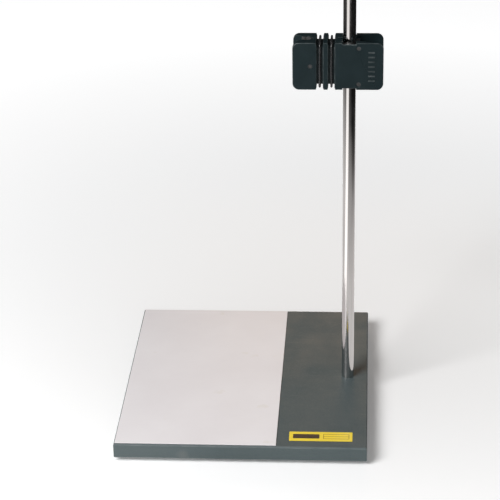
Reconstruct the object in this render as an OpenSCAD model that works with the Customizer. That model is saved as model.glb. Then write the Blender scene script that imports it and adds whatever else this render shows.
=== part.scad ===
// Burette stand: a plate base with a white working panel, a round rod, and a clamp of two shells
// that two rubber rings pull together round the rod and a burette.
// Millimetres. X runs along the front edge to the right, Y to the back, Z up.
// The origin lies on the bench, at the centre of the stand's outline.

/* [Base] */
// Width of the base plate, left to right
base_w = 240; // [220:5:320]
// Depth of the base plate, front to back
base_d = 280; // [200:5:360]
// Thickness of the base plate
base_t = 15; // [14:0.5:25]
// Chamfer along the base plate's edges
base_chamfer = 1; // [0.4:0.1:1.2]
// Width of the white working panel
panel_w = 153; // [100:1:160]
// Thickness of the white working panel
panel_t = 0.8; // [0.5:0.1:2]
// Bare border between the panel and the plate's left edge
panel_border = 1.1; // [1:0.1:4]
// Bare border in front of the panel and behind it
panel_end_border = 2.2; // [1:0.1:6]
// Width of the label
label_w = 60; // [30:1:70]
// Depth of the label
label_d = 16.5; // [10:0.5:30]
// Thickness of the label
label_t = 0.3; // [0.2:0.1:1]
// Label's centre from the plate's right edge
label_from_right = 44; // [36:1:45]
// Label's centre from the plate's front edge
label_from_front = 20; // [16:1:60]

/* [Feet] */
// Diameter of a foot where it meets the plate
foot_d = 20; // [16:1:30]
// Height of a foot
foot_h = 4; // [4:0.5:8]
// Centre of a foot from the plate's edges
foot_inset = 18; // [16:1:40]

/* [Rod] */
// Diameter of the rod
rod_d = 12; // [10:0.5:14]
// Length of the rod above the plate
rod_l = 600; // [450:10:900]
// Rod's axis from the plate's right edge
rod_from_right = 20; // [16:1:30]
// Diameter of the threaded spigot under the rod
spigot_d = 8; // [6:0.5:8]

/* [Clamp] */
// Height of the clamp's middle above the plate
clamp_z = 333.7; // [60:0.1:400]
// Height of the two shells
shell_h = 45.8; // [42:0.1:60]
// Depth of the closed clamp, front face to back face
shell_depth = 29.5; // [28:0.5:34]
// Burette end of the shells from the rod's axis
jaw_reach = 52.7; // [50:0.1:55]
// Finger end of the shells from the rod's axis
tab_reach = 31.5; // [28:0.1:35]
// Thickness of the shells at the finger end
tab_t = 2; // [1.5:0.1:3]
// Radius of the shells' corners, seen from the front
corner_r = 6; // [3:0.5:10]
// Distance between the two shells where they nearly meet
shell_gap = 0.3; // [0.2:0.1:0.6]
// Slope of each shell's inner face towards the finger end, in degrees
wedge_angle = 20; // [18:0.1:21]
// Slope of each shell's inner face towards the burette end, in degrees
mouth_angle = 29.3; // [26:0.1:30]
// Outside diameter of the burette that the clamp is closed on
burette_d = 8.6; // [8:0.1:10]
// Distance from the rod's axis to the burette's axis
burette_pitch = 40; // [39:0.5:41]

/* [Rings] */
// Thickness of a rubber ring
cord_d = 2.2; // [1.5:0.1:2.3]
// Distance between the two rings
ring_pitch = 10.8; // [9:0.1:11]
// Distance from the rod's axis to the middle between the rings
ring_middle = 22; // [21.8:0.05:22.2]
// Width of the groove that a ring lies in
groove_w = 5.8; // [4:0.1:6]
// Depth of the groove in the shells' faces
groove_d = 3; // [3:0.1:4]
// Depth of the notch in the shells' tops and bottoms
notch_d = 4; // [3.2:0.1:5]
// Depth of a ring's outer side below the shells' faces
ring_inset = 0.4; // [0.2:0.1:0.6]

/* [Hidden] */
$fn = 64;

plastic_grey = [0.36, 0.38, 0.38];
shell_black = [0.10, 0.11, 0.11];
rubber_black = [0.05, 0.05, 0.05];
steel = [0.75, 0.76, 0.78];

gap = 0.05;              // clearance between pieces that touch
past = 1;                // how far a cutter runs past the face that it opens
rod_r = rod_d / 2;

// Places: the stand's outline runs from the plate's left edge to the clamp's finger end,
// which overhangs the plate's right edge, and the origin is in the middle of it.
overhang = max(0, tab_reach - rod_from_right);
base_x = -overhang / 2;
rod_x = base_x + base_w / 2 - rod_from_right;
top_z = foot_h + base_t;
clamp_mid_z = top_z + clamp_z;

// Rod fixing, from the plate's top downwards
bore_r = spigot_d / 2 + gap;
washer_t = 1.6;
spring_t = 2;
slit_w = 1.2;            // slit of the spring washer
slit_tilt = 20;
nut_h = 4;
nut_ratio = 1.625;       // width of a standard nut over its thread
nut_across = nut_ratio * spigot_d;
nut_cover = 1.4;         // depth of the nut inside its counterbore
thread_chamfer = 0.6;
spanner_ratio = 0.92;    // room for a socket spanner, over the nut's width
counterbore_h = washer_t + spring_t + nut_h + nut_cover;
counterbore_r = nut_across * spanner_ratio;
washer_r = spigot_d;
spring_ratio = 0.92;     // outer radius of the spring washer over the thread's diameter
spring_r = spring_ratio * spigot_d;
counterbore_z = foot_h + counterbore_h;
spigot_inset = 0.9;      // from the plate's underside up to the spigot's end
spigot_z = foot_h + spigot_inset;
spigot_chamfer = 0.8;
rod_chamfer = 1;

// Foot and its screw
foot_taper = 1.5;
foot_tip_r = foot_d / 2 - foot_taper;
recess_r = 4.5;
recess_floor = 1.6;      // rubber left between the screw's head and the plate
recess_h = foot_h - recess_floor;
screw_hole_r = 2;
head_r = 3.75;
head_h = 1.9;
head_flat_r = 2.95;
shank_r = 1.75;
shank_l = 10;
tip_r = 0.3;
tip_l = 3;
pilot_r = shank_r + gap;
screw_slot = 0.9;
screw_slot_l = 4.1;

// Clamp. In the clamp's own frame the rod's axis is x = 0, y = 0 and the middle height is z = 0.
half_h = shell_h / 2;
half_depth = shell_depth / 2;
half_gap = shell_gap / 2;
wedge_x = -13.4;         // where the inner face starts to slope towards the finger end
mouth_x = -35.3;         // where it starts to slope towards the burette end
burette_x = -burette_pitch;
burette_r = burette_d / 2;
tab_x = min(tab_reach - 1, wedge_x + (half_depth - tab_t - half_gap) / tan(wedge_angle));
tab_y = half_gap + (tab_x - wedge_x) * tan(wedge_angle);
mouth_y = half_gap + (jaw_reach + mouth_x) * tan(mouth_angle);
bar_count = 7;           // raised grip bars at the finger end
bar_pitch = 4.6;
bar_size = [6, 0.4, 1.5];
bar_x = 20.5;

// Liners: a rubber block let into each inner face, grooved for the rod or the burette
rubber_t = 1.5;          // rubber left behind the groove
grip_r = rod_r + gap;
rod_face_y = (half_gap - wedge_x * tan(wedge_angle)) * cos(wedge_angle);
burette_face_y = (half_gap + (mouth_x - burette_x) * tan(mouth_angle)) * cos(mouth_angle);
rod_pad = [-7, 12, grip_r + rubber_t];
burette_pad = [-6.5, 3.9, burette_r + rubber_t];
rod_pad_inset = 3.4;     // from the shells' tops and bottoms to the liners' ends
burette_pad_inset = 0.6;
rod_pad_h = shell_h - 2 * rod_pad_inset;
burette_pad_h = shell_h - 2 * burette_pad_inset;
burette_way = 1.1;       // room round the burette where the shells let it through
burette_way_r = burette_r + burette_way;
plug_r = 1.95;
plug_recess = 0.5;
rod_plug_x = 8.6;
rod_plug_z = half_h - 5.4;
plug_wall = 0.5;         // wall left between a plug's hole and the inner face
rod_plug_y = half_gap + (rod_plug_x + plug_r - wedge_x) * tan(wedge_angle) + plug_wall;
burette_plug_x = 3.6;    // from the burette's axis
burette_plug_y = burette_r + gap;

// Way for the rod past the liners: round through the shells, and a slot at each end
rod_way_play = 0.3;
rod_way_r = rod_r + rod_way_play;
rod_way_wall = 1;        // wall left between the slot and a shell's face
rod_way_notch = 1.4;     // how far that wall stops short of the shell's top or bottom

// Rings, each on a raised seat that runs round the middle of its groove
cord_r = cord_d / 2;
core_r = 3;              // rounding of the seat's corners
seat_inset = ring_inset + cord_d + gap;
notch_flare = 0.7;
notch_flare_h = 2.2;
ring_y = half_depth - ring_inset - cord_r;
ring_z = half_h - ring_inset - cord_r;
ring_r = core_r + gap + cord_r;
ring_left_x = -ring_middle - ring_pitch / 2;
ring_right_x = -ring_middle + ring_pitch / 2;

// A rectangle with round corners, centred
module rounded_rect(size, r) {
    square([size.x, size.y - 2 * r], center = true);
    square([size.x - 2 * r, size.y], center = true);
    for (x = [-1, 1], y = [-1, 1])
        translate([x * (size.x / 2 - r), y * (size.y / 2 - r)]) circle(r);
}

// A bar along X that takes a chamfer off an edge lying on the X axis
module chamfer_bar(length, size) {
    rotate([45, 0, 0]) cube([length, size * sqrt(2), size * sqrt(2)], center = true);
}

// Puts its children at each foot
module at_feet() {
    for (side = [-1, 1], end = [-1, 1])
        at_foot(side, end) children();
}

module at_foot(side, end) {
    translate([base_x + side * (base_w / 2 - foot_inset), end * (base_d / 2 - foot_inset), 0]) children();
}

module at_rod() {
    translate([rod_x, 0, 0]) children();
}

module at_clamp() {
    translate([rod_x, 0, clamp_mid_z]) children();
}

module base_plate() {
    color(plastic_grey)
    difference() {
        translate([base_x - base_w / 2, -base_d / 2, foot_h]) cube([base_w, base_d, base_t]);
        for (z = [foot_h, top_z]) {
            for (end = [-1, 1])
                translate([base_x, end * base_d / 2, z]) chamfer_bar(base_w + 2 * past, base_chamfer);
            for (side = [-1, 1])
                translate([base_x + side * base_w / 2, 0, z])
                    rotate([0, 0, 90]) chamfer_bar(base_d + 2 * past, base_chamfer);
        }
        at_rod() {
            translate([0, 0, foot_h - past]) cylinder(r = bore_r, h = base_t + 2 * past);
            translate([0, 0, foot_h - past]) cylinder(r = counterbore_r, h = counterbore_h + past);
        }
        at_feet() translate([0, 0, foot_h - past]) cylinder(r = pilot_r, h = shank_l + past);
    }
}

module white_panel() {
    color("white")
    translate([base_x - base_w / 2 + panel_border, -base_d / 2 + panel_end_border, top_z])
        cube([panel_w, base_d - 2 * panel_end_border, panel_t]);
}

module label_plate() {
    color("gold")
    translate([base_x + base_w / 2 - label_from_right, -base_d / 2 + label_from_front, top_z + label_t / 2])
        cube([label_w, label_d, label_t], center = true);
}

module foot(side, end) {
    color(rubber_black)
    at_foot(side, end)
    rotate_extrude()
        polygon([
            [screw_hole_r, recess_h], [recess_r, recess_h], [recess_r, 0],
            [foot_tip_r, 0], [foot_d / 2, foot_h], [screw_hole_r, foot_h]
        ]);
}

module foot_screws() {
    color(steel)
    at_feet()
    difference() {
        rotate_extrude()
            polygon([
                [0, recess_h - head_h], [head_flat_r, recess_h - head_h], [head_r, recess_h - head_h / 2],
                [head_r, recess_h - gap], [shank_r, recess_h - gap], [shank_r, foot_h + shank_l - tip_l],
                [tip_r, foot_h + shank_l - gap], [0, foot_h + shank_l - gap]
            ]);
        for (turn = [0, 90])
            rotate([0, 0, turn]) translate([0, 0, recess_h - head_h])
                cube([screw_slot_l, screw_slot, head_h], center = true);
    }
}

module rod() {
    color(steel)
    at_rod()
    rotate_extrude()
        polygon([
            [0, spigot_z], [spigot_d / 2 - spigot_chamfer, spigot_z],
            [spigot_d / 2, spigot_z + spigot_chamfer], [spigot_d / 2, top_z + gap],
            [rod_r, top_z + gap], [rod_r, top_z + rod_l - rod_chamfer],
            [rod_r - rod_chamfer, top_z + rod_l], [0, top_z + rod_l]
        ]);
}

module rod_washer() {
    color(steel)
    at_rod() translate([0, 0, counterbore_z - gap - washer_t])
    difference() {
        cylinder(r = washer_r, h = washer_t);
        translate([0, 0, -past]) cylinder(r = bore_r, h = washer_t + 2 * past);
    }
}

module rod_spring_washer() {
    color(steel)
    at_rod() translate([0, 0, counterbore_z - 2 * gap - washer_t - spring_t])
    difference() {
        cylinder(r = spring_r, h = spring_t);
        translate([0, 0, -past]) cylinder(r = bore_r, h = spring_t + 2 * past);
        rotate([slit_tilt, 0, 0]) translate([0, -slit_w / 2, -spring_t])
            cube([spring_r * 2, slit_w, spring_t * 3]);
    }
}

module rod_nut() {
    color(steel)
    at_rod() translate([0, 0, counterbore_z - 3 * gap - washer_t - spring_t - nut_h])
    difference() {
        cylinder(d = nut_across / cos(30), h = nut_h, $fn = 6);
        translate([0, 0, -past]) cylinder(r = bore_r, h = nut_h + 2 * past);
        for (flip = [0, 1])
            translate([0, 0, flip * nut_h]) mirror([0, 0, flip])
                cylinder(r1 = bore_r + thread_chamfer, r2 = bore_r, h = thread_chamfer);
    }
}

// The block of a liner in the frame of what it grips, grown by a clearance all round
// pad is [left end, right end, distance of its back from the axis]
module pad_block(pad, face_y, angle, height, grow) {
    rotate([0, 0, angle])
        translate([pad[0] - grow, face_y, -height / 2 - grow])
            cube([pad[1] - pad[0] + 2 * grow, pad[2] - face_y + grow, height + 2 * grow]);
}

module plug(x, z, r, from_y, to_y) {
    translate([x, from_y, z]) rotate([-90, 0, 0]) cylinder(r = r, h = to_y - from_y);
}

module rod_plugs(r, from_y, to_y) {
    for (end = [-1, 1])
        plug(rod_plug_x, end * rod_plug_z, r, from_y, to_y);
}

// Plan of the back shell
module shell_plan() {
    polygon([
        [-jaw_reach, mouth_y], [mouth_x, half_gap], [wedge_x, half_gap],
        [tab_x, tab_y], [tab_reach, tab_y], [tab_reach, half_depth], [-jaw_reach, half_depth]
    ]);
}

// A round-cornered block across both shells, as deep and as high as they are less an inset
module ring_core(x, width, inset_y, inset_z) {
    translate([x, 0, 0]) rotate([90, 0, 90]) linear_extrude(width, center = true)
        rounded_rect([shell_depth - 2 * inset_y, shell_h - 2 * inset_z], core_r);
}

// Everything that a ring needs cut away: its groove in the faces and its notches at top and bottom
module ring_channel(x) {
    difference() {
        translate([x - groove_w / 2, -shell_depth, -shell_h])
            cube([groove_w, 2 * shell_depth, 2 * shell_h]);
        ring_core(x, 2 * groove_w, groove_d, notch_d);
        ring_core(x, cord_d, seat_inset, seat_inset);
    }
    for (up = [-1, 1])
        translate([x, 0, up * half_h]) rotate([90, 0, 0]) linear_extrude(2 * shell_depth, center = true)
            polygon([
                [-groove_w / 2 - notch_flare, up * gap], [groove_w / 2 + notch_flare, up * gap],
                [groove_w / 2, -up * notch_flare_h], [-groove_w / 2, -up * notch_flare_h]
            ]);
}

// Everything that the rod needs cut away from the shells
module rod_way() {
    cylinder(r = rod_way_r, h = 2 * shell_h, center = true);
    for (up = [0, 1]) mirror([0, 0, up]) {
        translate([-rod_way_r, 0, rod_pad_h / 2])
            cube([2 * rod_way_r, half_depth - rod_way_wall, shell_h]);
        translate([-rod_way_r, 0, half_h - rod_way_notch])
            cube([2 * rod_way_r, shell_depth, shell_h]);
    }
}

// One shell in the clamp's frame, as the back one. The front one is the same moulding, mirrored.
module shell() {
    difference() {
        intersection() {
            linear_extrude(shell_h, center = true) shell_plan();
            translate([(tab_reach - jaw_reach) / 2, 0, 0]) rotate([90, 0, 0])
                linear_extrude(2 * shell_depth, center = true)
                    rounded_rect([tab_reach + jaw_reach, shell_h], corner_r);
        }
        for (x = [ring_left_x, ring_right_x])
            ring_channel(x);
        rod_way();
        pad_block(rod_pad, rod_face_y - past, wedge_angle, rod_pad_h, gap);
        rod_plugs(plug_r + gap, rod_plug_y - gap, shell_depth);
        translate([burette_x, 0, 0]) {
            cylinder(r = burette_way_r, h = 2 * shell_h, center = true);
            pad_block(burette_pad, burette_face_y - past, -mouth_angle, burette_pad_h, gap);
            plug(burette_plug_x, 0, plug_r + gap, burette_plug_y - gap, shell_depth);
        }
    }
    for (i = [0 : bar_count - 1])
        translate([bar_x, half_depth, (i - (bar_count - 1) / 2) * bar_pitch])
            cube([bar_size.x, 2 * bar_size.y, bar_size.z], center = true);
}

module rod_liner() {
    difference() {
        union() {
            pad_block(rod_pad, rod_face_y, wedge_angle, rod_pad_h, 0);
            rod_plugs(plug_r, rod_plug_y, half_depth - plug_recess);
        }
        cylinder(r = grip_r, h = 2 * shell_h, center = true);
    }
}

module burette_liner() {
    translate([burette_x, 0, 0])
    difference() {
        union() {
            pad_block(burette_pad, burette_face_y, -mouth_angle, burette_pad_h, 0);
            plug(burette_plug_x, 0, plug_r, burette_plug_y, half_depth - plug_recess);
        }
        cylinder(r = burette_r, h = 2 * shell_h, center = true);
    }
}

module back_shell() {
    color(shell_black) at_clamp() shell();
}

module front_shell() {
    color(shell_black) at_clamp() mirror([0, 1, 0]) shell();
}

module rod_pad_back() {
    color(rubber_black) at_clamp() rod_liner();
}

module rod_pad_front() {
    color(rubber_black) at_clamp() mirror([0, 1, 0]) rod_liner();
}

module burette_pad_back() {
    color(rubber_black) at_clamp() burette_liner();
}

module burette_pad_front() {
    color(rubber_black) at_clamp() mirror([0, 1, 0]) burette_liner();
}

// A ring lies in an upright plane across both shells: four straight runs and four round corners
module ring(x) {
    color(rubber_black)
    at_clamp() translate([x, 0, 0]) rotate([90, 0, 90]) {
        for (side = [-1, 1]) {
            translate([side * ring_y, 0, 0]) rotate([90, 0, 0])
                cylinder(r = cord_r, h = 2 * (ring_z - ring_r), center = true);
            translate([0, side * ring_z, 0]) rotate([0, 90, 0])
                cylinder(r = cord_r, h = 2 * (ring_y - ring_r), center = true);
        }
        for (turn = [0 : 3]) {
            along = turn % 3 == 0 ? 1 : -1;
            up = turn < 2 ? 1 : -1;
            translate([along * (ring_y - ring_r), up * (ring_z - ring_r), 0])
                rotate([0, 0, 90 * turn]) rotate_extrude(angle = 90)
                    translate([ring_r, 0]) circle(cord_r);
        }
    }
}

base_plate();
white_panel();
label_plate();
foot(-1, -1);  // foot_front_left
foot(1, -1);  // foot_front_right
foot(-1, 1);  // foot_back_left
foot(1, 1);  // foot_back_right
foot_screws();
rod();
rod_nut();
rod_washer();
rod_spring_washer();
back_shell();
front_shell();
ring(ring_left_x);  // ring_left
ring(ring_right_x);  // ring_right
burette_pad_back();
burette_pad_front();
rod_pad_back();
rod_pad_front();
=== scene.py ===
import math

import bmesh
import bpy
from mathutils import Matrix, Vector, noise

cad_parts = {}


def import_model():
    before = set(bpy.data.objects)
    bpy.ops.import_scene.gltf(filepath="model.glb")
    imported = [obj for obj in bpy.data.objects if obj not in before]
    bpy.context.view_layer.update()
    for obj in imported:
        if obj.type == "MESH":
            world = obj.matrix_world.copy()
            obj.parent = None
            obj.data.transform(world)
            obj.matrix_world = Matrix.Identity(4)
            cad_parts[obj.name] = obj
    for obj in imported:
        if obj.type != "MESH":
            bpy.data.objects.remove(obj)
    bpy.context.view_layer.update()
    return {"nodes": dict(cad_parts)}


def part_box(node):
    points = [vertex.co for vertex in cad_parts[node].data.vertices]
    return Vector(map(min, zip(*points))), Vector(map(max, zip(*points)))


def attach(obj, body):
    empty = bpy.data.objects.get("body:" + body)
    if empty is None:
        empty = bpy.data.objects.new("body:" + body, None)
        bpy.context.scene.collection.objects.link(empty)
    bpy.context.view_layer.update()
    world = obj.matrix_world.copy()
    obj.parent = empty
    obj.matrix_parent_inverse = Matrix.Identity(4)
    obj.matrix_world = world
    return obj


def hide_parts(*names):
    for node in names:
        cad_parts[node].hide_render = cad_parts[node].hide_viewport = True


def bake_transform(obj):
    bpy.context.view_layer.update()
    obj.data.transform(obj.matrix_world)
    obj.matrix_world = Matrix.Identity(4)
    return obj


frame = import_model()

MM = 0.001
TURN = 2 * math.pi
WELD = 0.002 * MM                       # vertices nearer than this are one
FLAT = math.radians(0.6)                # faces that turn by less than this are one

# ---------------------------------------------------------------- places, from the frame

plate_lo, plate_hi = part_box("base_plate")
label_lo, label_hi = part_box("label_plate")
rod_lo, rod_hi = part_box("rod")
nut_lo, nut_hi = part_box("rod_nut")
back_lo, back_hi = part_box("back_shell")
rod_axis = (rod_lo + rod_hi) / 2
rod_r = (rod_hi.x - rod_lo.x) / 2
clamp_mid = (back_lo + back_hi) / 2
materials_by_slot = {}

# ---------------------------------------------------------------- mesh helpers


def new_object(name, bm):
    """A bmesh as a linked object."""
    bmesh.ops.recalc_face_normals(bm, faces=bm.faces)
    mesh = bpy.data.meshes.new(name)
    bm.to_mesh(mesh)
    bm.free()
    obj = bpy.data.objects.new(name, mesh)
    bpy.context.scene.collection.objects.link(obj)
    return obj


def shade(obj, sharp_angle=35):
    """Smooth shading, with edges over the angle kept sharp."""
    for polygon in obj.data.polygons:
        polygon.use_smooth = True
    obj.data.set_sharp_from_angle(angle=math.radians(sharp_angle))
    return obj


def round_edges(obj, width, share=None, segments=3, over=30):
    """Rounds every edge that turns by more than an angle, and marks the new faces in the attribute "edge".
    share, if given, takes the middle of an edge and says what part of the width that edge gets."""
    mesh = obj.data
    bevel_slot = 1
    for _ in range(bevel_slot + 1):
        mesh.materials.append(None)
    bm = bmesh.new()
    bm.from_mesh(mesh)
    weight = bm.edges.layers.float.new("bevel_weight_edge")
    for edge in bm.edges:
        if edge.is_manifold and edge.calc_face_angle() > math.radians(over):
            middle = (edge.verts[0].co + edge.verts[1].co) / 2
            edge[weight] = share(middle) if share else 1.0
    for face in bm.faces:
        face.smooth = True
    bm.to_mesh(mesh)
    bm.free()
    bevel = obj.modifiers.new("round edges", "BEVEL")
    bevel.width = width
    bevel.segments = segments
    bevel.limit_method = "WEIGHT"
    bevel.use_clamp_overlap = False
    bevel.miter_outer = "MITER_ARC"
    bevel.material = bevel_slot
    flat = obj.modifiers.new("flat faces", "WEIGHTED_NORMAL")
    flat.keep_sharp = False
    graph = bpy.context.evaluated_depsgraph_get()
    obj.data = bpy.data.meshes.new_from_object(obj.evaluated_get(graph))
    obj.modifiers.clear()
    edge_mark = obj.data.attributes.new("edge", "FLOAT", "FACE")
    for polygon in obj.data.polygons:
        edge_mark.data[polygon.index].value = float(polygon.material_index == bevel_slot)
    obj.data.materials.clear()
    return obj


def softened(node, width, share=None, segments=3, change=None):
    """A copy of a CAD node with its sharp edges rounded over. change, if given, alters its mesh first."""
    bm = bmesh.new()
    bm.from_mesh(frame["nodes"][node].data)
    bmesh.ops.remove_doubles(bm, verts=bm.verts, dist=WELD)
    if change:
        change(bm)
    bmesh.ops.dissolve_limit(bm, angle_limit=FLAT, verts=bm.verts, edges=bm.edges)
    return round_edges(new_object(node + "_piece", bm), width, share, segments)


def join_rings(bm, a, b):
    """Faces between two rings of vertices. A ring of one vertex closes an end."""
    steps = max(len(a), len(b))
    for i in range(steps):
        j = (i + 1) % steps
        corners = [a[i % len(a)], a[j % len(a)], b[j % len(b)], b[i % len(b)]]
        bm.faces.new(list(dict.fromkeys(corners)))


def lathe(name, profile, centre, steps=96, outline=None):
    """Turns (radius, height) points round the upright axis through centre. Points on the axis close the ends.
    outline, if given, takes a point and an angle and says where that point is at that angle."""
    bm = bmesh.new()
    rings = []
    for radius, height in profile:
        count = 1 if radius == 0 else steps
        ring = []
        for i in range(count):
            angle = TURN * i / steps
            r, z = outline(radius, height, angle) if outline else (radius, height)
            ring.append(bm.verts.new((centre.x + r * math.cos(angle), centre.y + r * math.sin(angle), z)))
        rings.append(ring)
    for a, b in zip(rings, rings[1:]):
        join_rings(bm, a, b)
    return new_object(name, bm)


def slab(bm, lo, hi, bottom, top, material, corner=0.0, steps=6):
    """An upright prism on a rectangle with round corners. lo and hi are opposite corners of the rectangle."""
    middles = [(hi[0] - corner, hi[1] - corner), (lo[0] + corner, hi[1] - corner),
               (lo[0] + corner, lo[1] + corner), (hi[0] - corner, lo[1] + corner)]
    outline = []
    for quarter, (x, y) in enumerate(middles):
        for i in range(steps + 1 if corner else 1):
            angle = TURN / 4 * (quarter + i / steps)
            outline.append((x + corner * math.cos(angle), y + corner * math.sin(angle)))
    rings = [[bm.verts.new((x, y, z)) for x, y in outline] for z in (bottom, top)]
    known = set(bm.faces)
    bm.faces.new(rings[0])
    bm.faces.new(rings[1])
    join_rings(bm, *rings)
    for face in set(bm.faces) - known:
        face.material_index = material


def fit(obj, body, slot, *nodes):
    """Gives a piece its body and the finish of a slot, and hides the CAD nodes that it stands for."""
    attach(obj, body)
    return finish_piece(obj, slot, *nodes)


def finish_piece(obj, slot, *nodes):
    """Gives a piece the finish of a slot, and hides the CAD nodes that it stands for."""
    obj.data.materials.append(materials_by_slot[slot])
    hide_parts(*nodes)
    return obj


# ---------------------------------------------------------------- material helpers


class Finish:
    """A material's node tree, with short calls for the nodes that the finishes share."""

    def __init__(self, name, roughness, metallic=0.0, **sockets):
        self.material = bpy.data.materials.new(name)
        self.material.use_nodes = True
        self.tree = self.material.node_tree
        self.shader = self.tree.nodes["Principled BSDF"]
        self.shader.inputs["Roughness"].default_value = roughness
        self.shader.inputs["Metallic"].default_value = metallic
        for socket, value in sockets.items():
            self.shader.inputs[socket.replace("_", " ")].default_value = value
        self.place = self.tree.nodes.new("ShaderNodeTexCoord").outputs["Object"]
        self.normal = None

    def stretched(self, scale, turn=0.0):
        """The place, turned about Z by an angle in degrees and then scaled."""
        node = self.tree.nodes.new("ShaderNodeMapping")
        node.inputs["Rotation"].default_value = (0, 0, math.radians(turn))
        node.inputs["Scale"].default_value = scale
        self.tree.links.new(self.place, node.inputs["Vector"])
        return node.outputs["Vector"]

    def noise(self, scale, detail=3.0, place=None):
        """Noise between about 0.3 and 0.7, with scale counted per metre."""
        node = self.tree.nodes.new("ShaderNodeTexNoise")
        node.inputs["Scale"].default_value = scale
        node.inputs["Detail"].default_value = detail
        self.tree.links.new(place or self.place, node.inputs["Vector"])
        return node.outputs["Fac"]

    def between(self, value, low, high, start=0.3, end=0.7):
        """Takes a value from the range start to end to the range low to high."""
        node = self.tree.nodes.new("ShaderNodeMapRange")
        for socket, number in zip(("From Min", "From Max", "To Min", "To Max"), (start, end, low, high)):
            node.inputs[socket].default_value = number
        self.tree.links.new(value, node.inputs["Value"])
        return node.outputs["Result"]

    def maths(self, operation, *values):
        """One sum on sockets or numbers."""
        node = self.tree.nodes.new("ShaderNodeMath")
        node.operation = operation
        for socket, value in zip(node.inputs, values):
            if isinstance(value, float):
                socket.default_value = value
            else:
                self.tree.links.new(value, socket)
        return node.outputs["Value"]

    def axes(self):
        """The place's X and its Y."""
        node = self.tree.nodes.new("ShaderNodeSeparateXYZ")
        self.tree.links.new(self.place, node.inputs["Vector"])
        return node.outputs["X"], node.outputs["Y"]

    def distance(self):
        """How far the place is from the object's own middle."""
        node = self.tree.nodes.new("ShaderNodeVectorMath")
        node.operation = "LENGTH"
        self.tree.links.new(self.place, node.inputs[0])
        return node.outputs["Value"]

    def edges(self, scale, start=0.3, end=0.8):
        """Where the rounded edges take their own colour: their mark, broken up by noise. On the panel it
        stands for rub marks; on the plate and the shells it is partly wear and partly a painted highlight.
        """
        mark = self.tree.nodes.new("ShaderNodeAttribute")
        mark.attribute_name = "edge"
        patches = self.between(self.noise(scale, 4), 0, 1, start, end)
        return self.maths("MULTIPLY", mark.outputs["Fac"], patches)

    def blend(self, factor, first, second):
        """Mixes two colours, each a colour or a socket."""
        node = self.tree.nodes.new("ShaderNodeMix")
        node.data_type = "RGBA"
        self.tree.links.new(factor, node.inputs["Factor"])
        for name, value in (("A", first), ("B", second)):
            socket = next(s for s in node.inputs if s.name == name and s.type == "RGBA")
            if isinstance(value, tuple):
                socket.default_value = (*value, 1.0)
            else:
                self.tree.links.new(value, socket)
        return next(s for s in node.outputs if s.type == "RGBA")

    def set(self, socket, value):
        """Feeds a socket of the shader."""
        self.tree.links.new(value, self.shader.inputs[socket])

    def bump(self, value, depth, strength=1.0):
        """Adds one layer of relief, depth in metres."""
        node = self.tree.nodes.new("ShaderNodeBump")
        node.inputs["Distance"].default_value = depth
        node.inputs["Strength"].default_value = strength
        self.tree.links.new(value, node.inputs["Height"])
        if self.normal:
            self.tree.links.new(self.normal, node.inputs["Normal"])
        self.normal = node.outputs["Normal"]
        self.tree.links.new(self.normal, self.shader.inputs["Normal"])


# ---------------------------------------------------------------- finishes


def base_grey():
    """Grey coated plate: a fine speckled grain, faint scuffs, and paler edges, partly wear and partly a
    painted highlight where the chamfers catch the light.
    """
    dark, light = (0.058, 0.079, 0.083), (0.070, 0.091, 0.094)
    speckle, scuff, edge_tint = (0.120, 0.136, 0.136), (0.140, 0.152, 0.150), (0.150, 0.168, 0.170)
    f = Finish("base grey", 0.45, Specular_IOR_Level=0.3)
    colour = f.blend(f.between(f.noise(9, 4), 0, 1), dark, light)
    colour = f.blend(f.between(f.noise(1500, 2), 0, 0.6, 0.5, 0.7), colour, speckle)
    scuffs = f.between(f.noise(30, 2, f.stretched((1.0, 22.0, 1.0), 35)), 0, 0.35, 0.66, 0.74)
    colour = f.blend(scuffs, colour, scuff)
    # paler rounded edges: partly wear, partly a painted highlight along the chamfers
    f.set("Base Color", f.blend(f.edges(90), colour, edge_tint))
    f.set("Roughness", f.between(f.noise(30, 5), 0.40, 0.56))
    f.bump(f.noise(1700, 2), 0.03 * MM)
    return f.material


def panel_white():
    """Smooth white sheet with a soft gloss, faint cloudiness, rub marks and a few pale drip stains."""
    dark, light = (0.770, 0.735, 0.745), (0.815, 0.785, 0.795)
    stain, edge_tint = (0.740, 0.700, 0.660), (0.700, 0.700, 0.690)
    f = Finish("panel white", 0.4)
    colour = f.blend(f.between(f.noise(14, 5), 0, 1), dark, light)
    colour = f.blend(f.between(f.noise(42, 3), 0, 0.5, 0.68, 0.74), colour, stain)
    f.set("Base Color", f.blend(f.edges(300), colour, edge_tint))
    f.set("Roughness", f.between(f.noise(50, 3, f.stretched((1.0, 14.0, 1.0), -20)), 0.34, 0.50))
    f.bump(f.noise(900, 2), 0.006 * MM)
    return f.material


def label_yellow():
    """Printed foil: an even yellow with a slight print grain."""
    dark, light = (0.86, 0.63, 0.025), (0.90, 0.69, 0.045)
    f = Finish("label yellow", 0.35, Coat_Weight=0.3, Coat_Roughness=0.2)
    f.set("Base Color", f.blend(f.between(f.noise(2600, 2), 0, 1), dark, light))
    f.set("Roughness", f.between(f.noise(120, 3), 0.28, 0.42))
    f.bump(f.noise(500, 2), 0.006 * MM)
    return f.material


def label_ink(name, dense, thin):
    """Printing ink between its colour where it lies dense and its colour where it lies thin."""
    f = Finish(name, 0.4)
    f.set("Base Color", f.blend(f.between(f.noise(1500, 2), 0, 1), dense, thin))
    f.set("Roughness", f.between(f.noise(200, 3), 0.34, 0.5))
    return f.material


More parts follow.
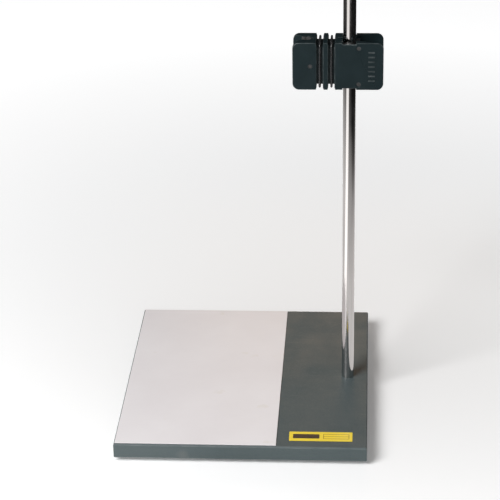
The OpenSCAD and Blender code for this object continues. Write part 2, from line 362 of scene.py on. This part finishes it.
def shell_black():
    """Black moulded plastic with a spark-eroded grain, worn a little smoother in places. Its edges and grip
    bars are paler and glossier: partly wear, partly a painted highlight.
    """
    dark, light = (0.0028, 0.0092, 0.0110), (0.0048, 0.0124, 0.0146)
    speckle, edge_tint = (0.016, 0.025, 0.027), (0.034, 0.045, 0.047)
    f = Finish("shell black", 0.42)
    colour = f.blend(f.between(f.noise(70, 4), 0, 1), dark, light)
    colour = f.blend(f.between(f.noise(1900, 2), 0, 0.5, 0.52, 0.7), colour, speckle)
    # paler edges and grip bars: partly wear, partly a painted highlight
    rubbed_and_lit = f.edges(220, 0.25, 0.7)
    f.set("Base Color", f.blend(rubbed_and_lit, colour, edge_tint))
    f.set("Specular IOR Level", f.between(rubbed_and_lit, 0.18, 0.6, 0.0, 1.0))
    f.set("Roughness", f.between(f.noise(45, 5), 0.34, 0.50))
    f.bump(f.noise(2000, 3), 0.03 * MM)
    f.bump(f.noise(120, 2), 0.05 * MM, 0.5)
    return f.material


def rubber(name, dark, dusty, gloss, grain):
    """Black rubber between its darkest and its dustiest colour. gloss is its range of roughness."""
    f = Finish(name, gloss[0])
    f.set("Base Color", f.blend(f.between(f.noise(160, 4), 0, 1), dark, dusty))
    f.set("Roughness", f.between(f.noise(240, 4), *gloss))
    f.bump(f.noise(grain, 3), 0.02 * MM)
    return f.material


def rod_steel():
    """Ground and polished stainless steel: fine rings of grinding, smudges, and drag marks along the rod."""
    smudged, clean, dragged = (0.59, 0.565, 0.555), (0.68, 0.66, 0.65), (0.45, 0.44, 0.43)
    f = Finish("rod steel", 0.12, metallic=1.0)
    colour = f.blend(f.between(f.noise(25, 4, f.stretched((1.0, 1.0, 0.35))), 0, 1), smudged, clean)
    drags = f.between(f.noise(900, 2, f.stretched((1.0, 1.0, 0.012))), 0, 0.5, 0.62, 0.72)
    f.set("Base Color", f.blend(drags, colour, dragged))
    f.set("Roughness", f.between(f.noise(90, 5, f.stretched((1.0, 1.0, 0.5))), 0.07, 0.17))
    f.bump(f.noise(60, 2, f.stretched((1.0, 1.0, 90.0))), 0.003 * MM)
    return f.material


def zinc_steel():
    """Zinc plating: a cool, slightly cloudy metal."""
    dull, bright = (0.50, 0.52, 0.53), (0.66, 0.66, 0.62)
    f = Finish("zinc steel", 0.35, metallic=1.0)
    f.set("Base Color", f.blend(f.between(f.noise(300, 4), 0, 1), dull, bright))
    f.set("Roughness", f.between(f.noise(500, 4), 0.25, 0.45))
    f.bump(f.noise(1600, 2), 0.01 * MM)
    return f.material


materials_by_slot.update({
    "base_grey": base_grey(),
    "panel_white": panel_white(),
    "label_yellow": label_yellow(),
    "shell_black": shell_black(),
    "foot_rubber": rubber("foot rubber", (0.020, 0.020, 0.020), (0.045, 0.044, 0.042), (0.6, 0.8), 900),
    "liner_rubber": rubber("liner rubber", (0.014, 0.015, 0.015), (0.030, 0.030, 0.030), (0.5, 0.7), 1200),
    "ring_rubber": rubber("ring rubber", (0.010, 0.010, 0.011), (0.024, 0.024, 0.025), (0.14, 0.28), 700),
    "rod_steel": rod_steel(),
    "zinc_steel": zinc_steel(),
})

# ---------------------------------------------------------------- base

plate_edge = 0.3 * MM        # how far edges are rounded over
foot_edge = 0.4 * MM
thin_edge = 0.15 * MM        # on the panel, the washers, the screws and the clamp's liners
spigot_r = 4 * MM            # the rod's threaded spigot, which the nut under the plate holds
spigot_play = 0.05 * MM      # clearance round it and above the plate


def label():
    """The yellow label with its print: a solid bar on the left and an empty ruled field on the right."""
    ink_t = 0.04 * MM
    size = label_hi - label_lo
    bar = (0.06, 0.26, 0.48, 0.74)           # left, front, right and back, over the label's width and depth
    field = (0.54, 0.24, 0.95, 0.76)
    rule = 0.5 * MM

    def pad(bm, left, front, right, back, material, corner=0.0):
        lo = (label_lo.x + left * size.x, label_lo.y + front * size.y)
        hi = (label_lo.x + right * size.x, label_lo.y + back * size.y)
        slab(bm, lo, hi, label_hi.z - 2 * ink_t, label_hi.z, material, corner)

    bm = bmesh.new()
    slab(bm, label_lo, label_hi, label_lo.z, label_hi.z - ink_t, 0, corner=0.8 * MM)
    pad(bm, *bar, 1, corner=1.2 * MM)
    left, front, right, back = field
    wide, deep = rule / size.x, rule / size.y
    for x in (left, right - wide):
        pad(bm, x, front, x + wide, back, 2)
    for y in (front, (front + back - deep) / 2, back - deep):
        pad(bm, left + wide, y, right - wide, y + deep, 2)
    obj = shade(new_object("label_piece", bm))
    fit(obj, "base", "label_yellow", "label_plate")
    obj.data.materials.append(label_ink("label ink dark", (0.020, 0.010, 0.006), (0.050, 0.028, 0.012)))
    obj.data.materials.append(label_ink("label ink amber", (0.200, 0.085, 0.006), (0.300, 0.140, 0.010)))


def nut():
    """A hexagon nut with its corners chamfered at both ends."""
    flat_r = (nut_hi.y - nut_lo.y) / 2
    middle = (nut_lo.z + nut_hi.z) / 2
    hole_r = spigot_r + spigot_play
    lead = 0.6 * MM
    chamfer_slope = math.tan(math.radians(30))
    chamfer_start = 0.96 * flat_r
    steps = 144
    sixth = TURN / 6

    def hexagon(radius, height, angle):
        if radius < flat_r:
            return radius, height
        to_corner = flat_r / math.cos((angle + sixth / 2) % sixth - sixth / 2)
        drop = (to_corner - chamfer_start) * chamfer_slope
        return to_corner, height - drop if height > middle else height + drop

    profile = [(hole_r, nut_lo.z + lead), (hole_r + lead, nut_lo.z), (chamfer_start, nut_lo.z),
               (flat_r, nut_lo.z), (flat_r, nut_hi.z),
               (chamfer_start, nut_hi.z), (hole_r + lead, nut_hi.z), (hole_r, nut_hi.z - lead),
               (hole_r, nut_lo.z + lead)]
    obj = shade(lathe("rod_nut_piece", profile, rod_axis, steps, hexagon), 25)
    # the profile ends where it began, so its first and last rings become one
    bm = bmesh.new()
    bm.from_mesh(obj.data)
    bmesh.ops.remove_doubles(bm, verts=bm.verts, dist=WELD / 2)
    bmesh.ops.recalc_face_normals(bm, faces=bm.faces)
    bm.to_mesh(obj.data)
    bm.free()
    fit(obj, "base", "zinc_steel", "rod_nut")


fit(softened("base_plate", plate_edge), "base", "base_grey", "base_plate")
fit(softened("white_panel", thin_edge), "base", "panel_white", "white_panel")
label()
for end in ("front", "back"):
    for side in ("left", "right"):
        node = f"foot_{end}_{side}"
        fit(softened(node, foot_edge), "base", "foot_rubber", node)
for node in ("foot_screws", "rod_washer", "rod_spring_washer"):
    fit(softened(node, thin_edge, segments=2), "base", "zinc_steel", node)
nut()

# ---------------------------------------------------------------- rod


def rod():
    """The round rod, with a rounded top edge and a thread on its spigot."""
    lead = 0.8 * MM
    pitch = 1.25 * MM
    depth = 0.65 * MM
    rows = 80                                # of points along the thread
    runout = 2 * MM
    foot = plate_hi.z + spigot_play          # the rod's shoulder, just clear of the plate
    relief = 0.2 * MM
    edge_r = 0.9 * MM
    edge_steps = 6
    thread_lo, thread_hi = rod_lo.z + lead, foot - runout

    def thread(radius, height, angle):
        if not thread_lo < height < thread_hi:
            return radius, height
        turns = height / pitch - angle / TURN
        return radius - depth * abs(2 * (turns % 1) - 1), height

    profile = [(0, rod_lo.z), (spigot_r - lead, rod_lo.z)]
    profile += [(spigot_r, thread_lo + (thread_hi - thread_lo) * i / rows) for i in range(rows + 1)]
    profile += [(spigot_r, foot), (rod_r - relief, foot), (rod_r, foot + relief)]
    for i in range(edge_steps + 1):
        angle = TURN / 4 * i / edge_steps
        radius = rod_r - edge_r + edge_r * math.cos(angle)
        profile.append((radius, rod_hi.z - edge_r + edge_r * math.sin(angle)))
    profile.append((0, rod_hi.z))
    fit(shade(lathe("rod_piece", profile, rod_axis, outline=thread)), "rod", "rod_steel", "rod")


rod()

# ---------------------------------------------------------------- clamp

outer_w = 0.65 * MM          # rounding of the shells' outer edges
inner_share = 0.35           # of it, on the edges between the shells
bar_share = 0.25             # on the grip bars
plug_share = 0.3             # on the plugs' holes
face_y = 14.75 * MM          # the shells' faces, from the rod's axis
bar_x, bar_count, bar_pitch = 20.5 * MM, 7, 4.6 * MM
bar_size = Vector((6, 0.4, 1.5)) * MM
bar_zone = 0.55 * bar_size.x     # from the bars' middle to just past their ends
plugs = [(8.6 * MM, 17.5 * MM), (8.6 * MM, -17.5 * MM), (-36.4 * MM, 0.0)]
plug_zone = 2.6 * MM         # round the middle of a plug
ring_corner_r = 4.15 * MM


def shell_share(middle):
    """How much of the full rounding an edge of a shell gets: all outside, less inside and on small detail."""
    x, y, z = middle.x - rod_axis.x, abs(middle.y), middle.z - clamp_mid.z
    if y < face_y - bar_size.y:
        return inner_share
    if abs(x - bar_x) < bar_zone and abs(z) < bar_count * bar_pitch / 2:
        return bar_share
    if any(math.hypot(x - plug_x, z - plug_z) < plug_zone for plug_x, plug_z in plugs):
        return plug_share
    return 1.0


def bars_apart(bm):
    """Takes the grip bars off a shell's face, closes the face, and sets each bar in it as its own block."""
    proud = [v for v in bm.verts if abs(v.co.y) > face_y + bar_size.y / 2]
    side = math.copysign(1, proud[0].co.y)
    bmesh.ops.delete(bm, geom=proud, context="VERTS")
    bmesh.ops.holes_fill(bm, edges=[e for e in bm.edges if e.is_boundary])
    for i in range(bar_count):
        up = (i - (bar_count - 1) / 2) * bar_pitch
        middle = Vector((rod_axis.x + bar_x, side * face_y, clamp_mid.z + up))
        place = Matrix.Translation(middle) @ Matrix.Diagonal((bar_size.x, 2 * bar_size.y, bar_size.z, 1))
        bmesh.ops.create_cube(bm, size=1, matrix=place)


def ring_path(half_y, half_z):
    """Points round a ring's loop, each with the angle of its outward side: four round corners and the runs
    between them. half_y and half_z are the loop's half sizes."""
    corner_steps, run_steps = 12, 16
    path = []
    for quarter in range(4):
        along = 1 if quarter in (0, 3) else -1
        up = 1 if quarter < 2 else -1
        corner = Vector((along * (half_y - ring_corner_r), up * (half_z - ring_corner_r)))
        for i in range(corner_steps + 1):
            angle = TURN / 4 * (quarter + i / corner_steps)
            path.append((corner + ring_corner_r * Vector((math.cos(angle), math.sin(angle))), angle))
        start, outwards = path[-1]
        length = 2 * (half_z if quarter % 2 else half_y) - 2 * ring_corner_r
        run = length * Vector((-math.sin(outwards), math.cos(outwards)))
        for i in range(1, run_steps):
            path.append((start + run * i / run_steps, outwards))
    return path


def ring(side):
    """A rubber ring: a moulded cord along its loop, not quite straight, with a faint flash on both sides."""
    lo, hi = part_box("ring_" + side)
    cord_r = (hi.x - lo.x) / 2
    middle = (lo + hi) / 2
    half_y, half_z = hi.y - cord_r, (hi.z - lo.z) / 2 - cord_r
    wander, wander_l = 0.3 * MM, 9 * MM          # sideways, and the length over which it changes
    core, swell, swell_l = 0.96, 0.02, 5 * MM    # shares of the radius, and the length over which it changes
    flash, flash_w = 0.03, 0.2
    around = 24
    bm = bmesh.new()
    rings = []
    for (y, z), outwards in ring_path(half_y, half_z):
        place = Vector((y, z, middle.x))
        x = middle.x + wander * noise.noise(place / wander_l)
        local = core + swell * noise.noise(place / swell_l)
        loop = []
        for k in range(around):
            angle = TURN * k / around
            radius = cord_r * (local + flash * math.exp(-(math.sin(angle) / flash_w) ** 2))
            out = radius * math.cos(angle)
            loop.append(bm.verts.new((x + radius * math.sin(angle),
                                      y + out * math.cos(outwards),
                                      middle.z + z + out * math.sin(outwards))))
        rings.append(loop)
    for a, b in zip(rings, rings[1:] + rings[:1]):
        join_rings(bm, a, b)
    obj = shade(new_object(f"ring_{side}_piece", bm), 60)
    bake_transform(obj)
    finish_piece(obj, "ring_rubber", "ring_" + side)


for side in ("back", "front"):
    body = "clamp_" + side
    shell = side + "_shell"
    obj = softened(shell, outer_w, shell_share, change=bars_apart)
    # the whole of the bars gets the paler edge colour, not only their edges: partly finger wear, partly a
    # painted highlight on the raised bars
    for polygon in obj.data.polygons:
        if abs(polygon.center.y) > face_y + bar_size.y / 4:
            obj.data.attributes["edge"].data[polygon.index].value = 1.0
    fit(obj, body, "shell_black", shell)
    for node in (f"rod_pad_{side}", f"burette_pad_{side}"):
        fit(softened(node, thin_edge, segments=2), body, "liner_rubber", node)
for side in ("left", "right"):
    ring(side)

# ---------------------------------------------------------------- studio


def floor(name, middle, size, height):
    """A level square round a middle."""
    bm = bmesh.new()
    bmesh.ops.create_grid(bm, x_segments=1, y_segments=1, size=size / 2)
    obj = new_object(name, bm)
    obj.location = (middle.x, middle.y, height)
    return obj


def pale_floor():
    """The floor that is seen and that throws light back. It glows a little further off, where the lamps reach
    it less. Gloss doesn't show it: glossy_floor stands in for it there."""
    obj = floor("studio_floor", (plate_lo + plate_hi) / 2, 40, 0)
    obj.visible_glossy = False
    glow_near, glow_far, near, far = 0.14, 0.75, 0.12, 1.1
    f = Finish("studio floor", 0.8, Base_Color=(0.85, 0.85, 0.85, 1), Emission_Color=(1, 1, 1, 1))
    f.set("Emission Strength", f.between(f.distance(), glow_near, glow_far, near, far))
    obj.data.materials.append(f.material)


def glossy_floor():
    """What gloss shows of the floor: pale near the stand, darker further off and on the right,
    with the bright reach of a window on the front left and a faint one behind."""
    middle = rod_axis + Vector((-145, 77, 0)) * MM
    windows = ((-112, 22, 1.2), (95, 24, 0.2))   # direction from +X and half width, in degrees, and strength
    soft = 6                                     # degrees over which half a window's edge fades
    obj = floor("studio_gloss", middle, 8, -1 * MM)
    for kind in ("camera", "diffuse", "shadow", "transmission", "volume_scatter"):
        setattr(obj, "visible_" + kind, False)
    f = Finish("studio gloss", 1.0)
    across, along = f.axes()
    near = f.between(f.distance(), 0.80, 0.05, 0.4, 1.05)
    total = f.maths("MULTIPLY", near, f.between(across, 1, 0.2, 0.6, 0.85))
    azimuth = f.maths("ARCTAN2", along, across)
    for direction, half, strength in windows:
        off = f.maths("ABSOLUTE", f.maths("SUBTRACT", azimuth, math.radians(direction)))
        window = f.between(off, strength, 0, math.radians(half - soft), math.radians(half + soft))
        total = f.maths("ADD", total, window)
    emission = f.tree.nodes.new("ShaderNodeEmission")
    emission.inputs["Color"].default_value = (1.0, 0.985, 0.975, 1)
    f.tree.links.new(total, emission.inputs["Strength"])
    f.tree.links.new(emission.outputs["Emission"], f.tree.nodes["Material Output"].inputs["Surface"])
    obj.data.materials.append(f.material)


def area_light(name, target, azimuth, elevation, distance, size, level, colour=(1, 1, 1), spread=180):
    """A soft lamp that looks at a point. azimuth is counted from the front towards the right, angles are in
    degrees, and level is about how bright a white surface that faces the lamp gets from it."""
    data = bpy.data.lights.new(name, "AREA")
    data.shape = "RECTANGLE"
    data.size, data.size_y = size
    data.energy = level * (math.pi * distance) ** 2
    data.color = colour
    data.spread = math.radians(spread)
    turn, lift = math.radians(azimuth), math.radians(elevation)
    away = Vector((math.sin(turn) * math.cos(lift), -math.cos(turn) * math.cos(lift), math.sin(lift)))
    obj = bpy.data.objects.new(name, data)
    obj.location = target + away * distance
    obj.rotation_euler = away.to_track_quat("Z", "Y").to_euler()
    bpy.context.scene.collection.objects.link(obj)


def world(ambient, gloss):
    """The room. It lights evenly with the ambient level, and is pale behind the stand. gloss is what gloss
    shows of it instead: pairs of a height, from the horizon at 0 to overhead at 1, and a level."""
    backdrop = 0.97
    made = bpy.data.worlds.new("studio")
    made.use_nodes = True
    tree = made.node_tree
    background = tree.nodes["Background"]
    background.inputs["Color"].default_value = (0.95, 0.96, 0.98, 1)
    direction = tree.nodes.new("ShaderNodeTexCoord")
    split = tree.nodes.new("ShaderNodeSeparateXYZ")
    tree.links.new(direction.outputs["Generated"], split.inputs[0])
    ramp = tree.nodes.new("ShaderNodeValToRGB")
    stops = ramp.color_ramp.elements
    while len(stops) < len(gloss):
        stops.new(0.5)
    for stop, (height, level) in zip(stops, gloss):
        stop.position = height
        stop.color = (level, level, level, 1)
    tree.links.new(split.outputs["Z"], ramp.inputs["Fac"])
    ray = tree.nodes.new("ShaderNodeLightPath")
    level = ambient
    for kind, value in (("Is Glossy Ray", ramp.outputs["Color"]), ("Is Camera Ray", backdrop)):
        pick = tree.nodes.new("ShaderNodeMix")
        tree.links.new(ray.outputs[kind], pick.inputs["Factor"])
        for socket, what in ((pick.inputs["A"], level), (pick.inputs["B"], value)):
            if isinstance(what, float):
                socket.default_value = what
            else:
                tree.links.new(what, socket)
        level = pick.outputs["Result"]
    tree.links.new(level, background.inputs["Strength"])
    bpy.context.scene.world = made


def camera():
    """The viewing angle: from the front and a little to the right, looking down."""
    place = (0.11106, -1.69415, 0.96325)
    yaw, pitch, roll = (math.radians(a) for a in (3.81, 25.39, -1.06))
    aim = Matrix.Rotation(yaw, 3, "Z") @ Matrix.Rotation(TURN / 4 - pitch, 3, "X")
    data = bpy.data.cameras.new("camera")
    data.lens = 138.55
    data.sensor_width = 36
    obj = bpy.data.objects.new("camera", data)
    obj.rotation_euler = (aim @ Matrix.Rotation(roll, 3, "Z")).to_euler()
    obj.location = place
    bpy.context.scene.collection.objects.link(obj)
    bpy.context.scene.camera = obj


pale_floor()
glossy_floor()
world(ambient=0.10, gloss=((0.0, 0.40), (0.22, 0.02), (0.6, 0.02), (0.95, 0.45)))
stand_middle = (plate_lo + plate_hi) / 2 + Vector((0, 0, 150 * MM))
plate_back = Vector((rod_axis.x, plate_hi.y, plate_hi.z))
area_light("key", stand_middle, azimuth=-37, elevation=40, distance=1.5, size=(0.8, 0.8), level=1.3)
area_light("fill", stand_middle, azimuth=15, elevation=12, distance=2.2, size=(0.8, 1.0), level=0.08)
area_light("glow", plate_back, azimuth=180, elevation=25, distance=0.8, size=(0.5, 0.2), level=0.010,
           colour=(1, 0.72, 0.5), spread=40)
camera()
bpy.context.scene.view_settings.view_transform = "Standard"
